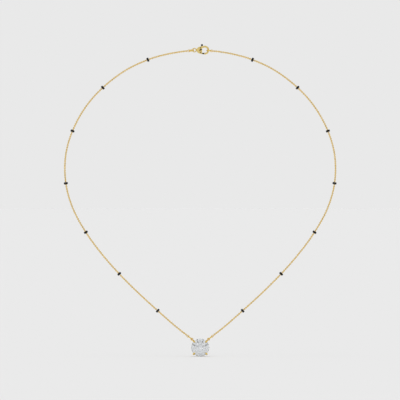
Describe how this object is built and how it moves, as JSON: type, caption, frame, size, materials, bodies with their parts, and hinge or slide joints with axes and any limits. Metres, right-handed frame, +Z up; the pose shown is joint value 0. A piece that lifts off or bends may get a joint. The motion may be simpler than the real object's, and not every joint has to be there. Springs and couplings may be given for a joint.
{
  "type": "mangalsutra necklace",
  "caption": "Fine gold cable chain necklace with short black beads at even stations, a round brilliant in a four-prong basket and a lobster clasp.",
  "frame": {"origin": "in the clasp at the top middle of the loop, where the necklace sits on the nape", "axes": "+Z up as worn, the loop in the XZ plane, front of the pendant towards -Y, the clasp's eye towards -X"},
  "size_m": [0.1462, 0.0065, 0.1673],
  "materials": {
    "gold": "polished",
    "black_bead": "polished",
    "stone": "polished"
  },
  "bodies": {
    "necklace": {"chain_left": "gold", "chain_right": "gold", "ring_clasp_left": "gold", "ring_clasp_right": "gold", "ring_pendant_left": "gold", "ring_pendant_right": "gold", "clasp_body": "gold", "clasp_pin": "gold", "bead_01": "black_bead", "bead_02": "black_bead", "bead_03": "black_bead", "bead_04": "black_bead", "bead_05": "black_bead", "bead_06": "black_bead", "bead_07": "black_bead", "bead_08": "black_bead", "bead_09": "black_bead", "bead_10": "black_bead", "bead_11": "black_bead", "bead_12": "black_bead", "bead_13": "black_bead", "bead_14": "black_bead"},
    "lever": {"clasp_lever": "gold"},
    "pendant": {"setting": "gold", "stone": "stone"}
  },
  "joints": [
    {"name": "lever_open", "type": "hinge", "parent": "necklace", "child": "lever", "pos_m": [0.0003, 0, -0.00025], "axis": [0, -1, 0], "range_deg": [0, 28], "stiffness_Nm_per_rad": 0.002, "springref_deg": -20.05},
    {"name": "pendant_swing", "type": "hinge", "parent": "necklace", "child": "pendant", "pos_m": [0, 0, -0.15431], "axis": [1, 0, 0], "range_deg": [-25, 25]}
  ]
}
